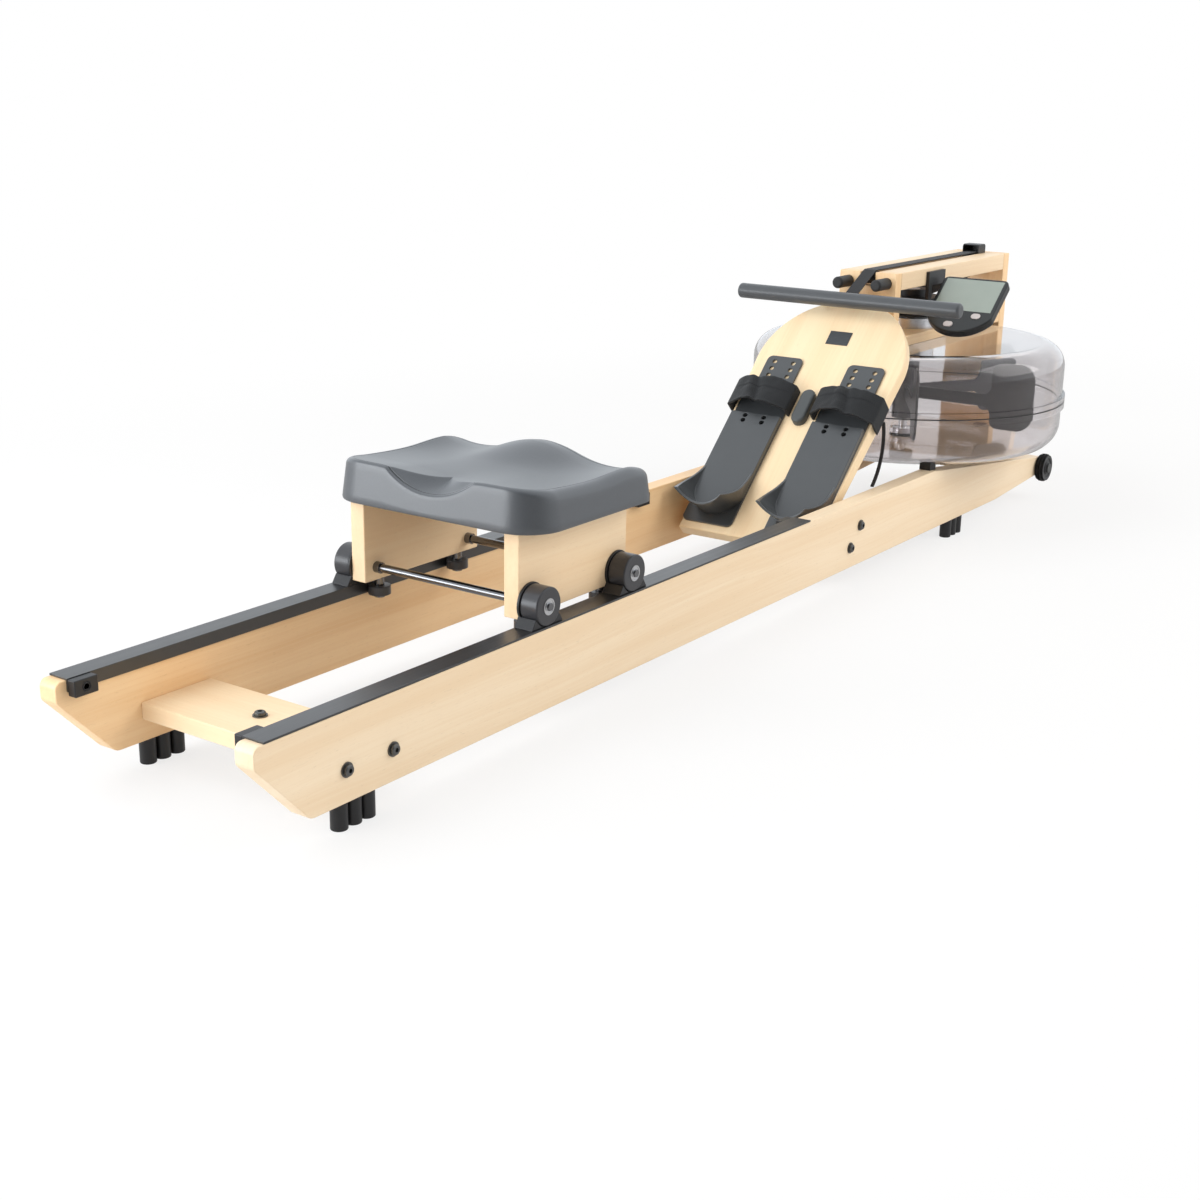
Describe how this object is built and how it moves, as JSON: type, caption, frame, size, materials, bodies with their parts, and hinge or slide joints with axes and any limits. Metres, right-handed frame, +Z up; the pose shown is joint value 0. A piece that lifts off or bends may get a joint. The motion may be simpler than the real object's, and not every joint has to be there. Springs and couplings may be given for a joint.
{
  "type": "rowing machine",
  "caption": "Wooden rowing machine with a clear round water tank, sliding contoured seat on rails, sloped footboard with straps, strap-drawn handle and tilting monitor.",
  "frame": {"origin": "on the floor under the middle of the machine's length and width", "axes": "+X along the machine from the seat end to the tank, +Y the rower's left, +Z up"},
  "size_m": [2.113, 0.572, 0.477],
  "materials": {
    "wood": "satin",
    "track": "satin",
    "rubber": "matte",
    "roller": "satin",
    "black_plastic": "satin",
    "foot_plastic": "satin",
    "steel": "satin",
    "bearing": "polished",
    "tank": "clear",
    "seat_foam": "matte",
    "grip_foam": "matte",
    "strap": "woven",
    "display": "gloss",
    "button": "satin",
    "plate": "brushed"
  },
  "bodies": {
    "frame": {"left_rail": "wood", "right_rail": "wood", "seat_tracks": "track", "track_stops": "black_plastic", "rear_spacer": "wood", "rail_feet": "rubber", "frame_bolts": "steel", "cross_boards": "wood", "tank_lower_shell": "tank", "tank_upper_shell": "tank", "tank_seal": "rubber", "tank_pads": "rubber", "tank_deck": "wood", "shaft_bearings": "bearing", "recoil_spring": "steel", "beam_cheeks": "wood", "beam_near_post": "wood", "handle_pegs": "rubber", "far_post": "wood", "pulley_cover": "black_plastic", "footboard": "wood", "footboard_batten": "wood", "blank_plate": "plate", "knee_block": "wood", "foot_plates": "foot_plastic", "foot_straps": "strap", "strap_keeper": "black_plastic", "strap_run": "strap", "monitor_arm": "black_plastic"},
    "seat_carriage": {"seat_boards": "wood", "seat_axles": "steel", "roller_guards": "black_plastic", "roller_bearings": "bearing", "seat_pan": "black_plastic", "seat_cushion": "seat_foam"},
    "front_rollers": {"front_rollers": "roller"},
    "rear_rollers": {"rear_rollers": "roller"},
    "handle": {"handle_core": "steel", "handle_grip": "grip_foam", "strap_lead": "strap"},
    "strap_roller": {"strap_roller": "roller"},
    "strap_pulley": {"strap_pulley": "roller"},
    "drum": {"strap_drum": "black_plastic", "strap_winding": "strap", "clutch_bearing": "steel"},
    "rotor": {"rotor_shaft": "steel", "paddle_rotor": "tank"},
    "monitor": {"monitor_housing": "black_plastic", "monitor_lens": "display"},
    "fill_plug": {"fill_plug": "rubber"},
    "left_front_guide_roller": {"left_front_guide_roller": "roller"},
    "left_rear_guide_roller": {"left_rear_guide_roller": "roller"},
    "right_front_guide_roller": {"right_front_guide_roller": "roller"},
    "right_rear_guide_roller": {"right_rear_guide_roller": "roller"},
    "left_heel_rest": {"left_heel_rest": "foot_plastic"},
    "right_heel_rest": {"right_heel_rest": "foot_plastic"},
    "left_button": {"left_button": "button"},
    "right_button": {"right_button": "button"},
    "left_wheel": {"left_wheel": "rubber"},
    "right_wheel": {"right_wheel": "rubber"}
  },
  "joints": [
    {"name": "seat_slide", "type": "slide", "parent": "frame", "child": "seat_carriage", "axis": [1, 0, 0], "range_m": [-0.437, 0.437]},
    {"name": "front_roller_spin", "type": "hinge", "parent": "seat_carriage", "child": "front_rollers", "pos_m": [-0.38605, 0, 0.1653], "axis": [0, 1, 0], "continuous": true},
    {"name": "rear_roller_spin", "type": "hinge", "parent": "seat_carriage", "child": "rear_rollers", "pos_m": [-0.57005, 0, 0.1653], "axis": [0, 1, 0], "continuous": true},
    {"name": "handle_pull", "type": "slide", "parent": "frame", "child": "handle", "axis": [-1, 0, 0], "range_m": [0, 1.05], "stiffness_N_per_m": 20, "deforming": ["strap_lead"]},
    {"name": "strap_roller_spin", "type": "hinge", "parent": "frame", "child": "strap_roller", "pos_m": [0.57395, 0, 0.4502], "axis": [0, 1, 0], "continuous": true},
    {"name": "strap_pulley_spin", "type": "hinge", "parent": "frame", "child": "strap_pulley", "pos_m": [1.01005, 0, 0.4432], "axis": [0, 1, 0], "continuous": true},
    {"name": "drum_spin", "type": "hinge", "parent": "frame", "child": "drum", "pos_m": [0.74395, 0, 0.39], "axis": [0, 0, 1], "continuous": true},
    {"name": "rotor_spin", "type": "hinge", "parent": "frame", "child": "rotor", "pos_m": [0.74395, 0, 0.24], "axis": [0, 0, 1], "continuous": true},
    {"name": "monitor_tilt", "type": "hinge", "parent": "frame", "child": "monitor", "pos_m": [0.69074, -0.128, 0.39511], "axis": [0, 1, 0], "range_deg": [-15, 20]},
    {"name": "fill_plug_pull", "type": "slide", "parent": "frame", "child": "fill_plug", "axis": [0, 0, 1], "range_m": [0, 0.03]},
    {"name": "left_front_guide_roller_spin", "type": "hinge", "parent": "seat_carriage", "child": "left_front_guide_roller", "pos_m": [-0.39905, 0.1211, 0.13], "axis": [0, 0, 1], "continuous": true},
    {"name": "left_rear_guide_roller_spin", "type": "hinge", "parent": "seat_carriage", "child": "left_rear_guide_roller", "pos_m": [-0.55705, 0.1211, 0.13], "axis": [0, 0, 1], "continuous": true},
    {"name": "right_front_guide_roller_spin", "type": "hinge", "parent": "seat_carriage", "child": "right_front_guide_roller", "pos_m": [-0.39905, -0.1211, 0.13], "axis": [0, 0, 1], "continuous": true},
    {"name": "right_rear_guide_roller_spin", "type": "hinge", "parent": "seat_carriage", "child": "right_rear_guide_roller", "pos_m": [-0.55705, -0.1211, 0.13], "axis": [0, 0, 1], "continuous": true},
    {"name": "left_heel_slide", "type": "slide", "parent": "frame", "child": "left_heel_rest", "axis": [0.7145, 0, 0.6997], "range_m": [0, 0.0435]},
    {"name": "left_button_press", "type": "slide", "parent": "monitor", "child": "left_button", "axis": [0.6428, 0, -0.766], "range_m": [0, 0.0008], "stiffness_N_per_m": 800},
    {"name": "left_wheel_spin", "type": "hinge", "parent": "frame", "child": "left_wheel", "pos_m": [1.01555, 0.177, 0.0605], "axis": [0, 1, 0], "continuous": true},
    {"name": "right_heel_slide", "type": "slide", "parent": "frame", "child": "right_heel_rest", "axis": [0.7145, 0, 0.6997], "range_m": [0, 0.0435]},
    {"name": "right_button_press", "type": "slide", "parent": "monitor", "child": "right_button", "axis": [0.6428, 0, -0.766], "range_m": [0, 0.0008], "stiffness_N_per_m": 800},
    {"name": "right_wheel_spin", "type": "hinge", "parent": "frame", "child": "right_wheel", "pos_m": [1.01555, -0.177, 0.0605], "axis": [0, 1, 0], "continuous": true}
  ],
  "couplings": [
    {"joint": "front_roller_spin", "follows": "seat_slide", "rad_per_m": 40.984},
    {"joint": "rear_roller_spin", "follows": "seat_slide", "rad_per_m": 40.984},
    {"joint": "strap_roller_spin", "follows": "handle_pull", "rad_per_m": -81.967},
    {"joint": "strap_pulley_spin", "follows": "handle_pull", "rad_per_m": -52.083},
    {"joint": "drum_spin", "follows": "handle_pull", "rad_per_m": -21.834},
    {"joint": "left_front_guide_roller_spin", "follows": "seat_slide", "rad_per_m": 66.667},
    {"joint": "left_rear_guide_roller_spin", "follows": "seat_slide", "rad_per_m": 66.667},
    {"joint": "right_front_guide_roller_spin", "follows": "seat_slide", "rad_per_m": -66.667},
    {"joint": "right_rear_guide_roller_spin", "follows": "seat_slide", "rad_per_m": -66.667}
  ]
}
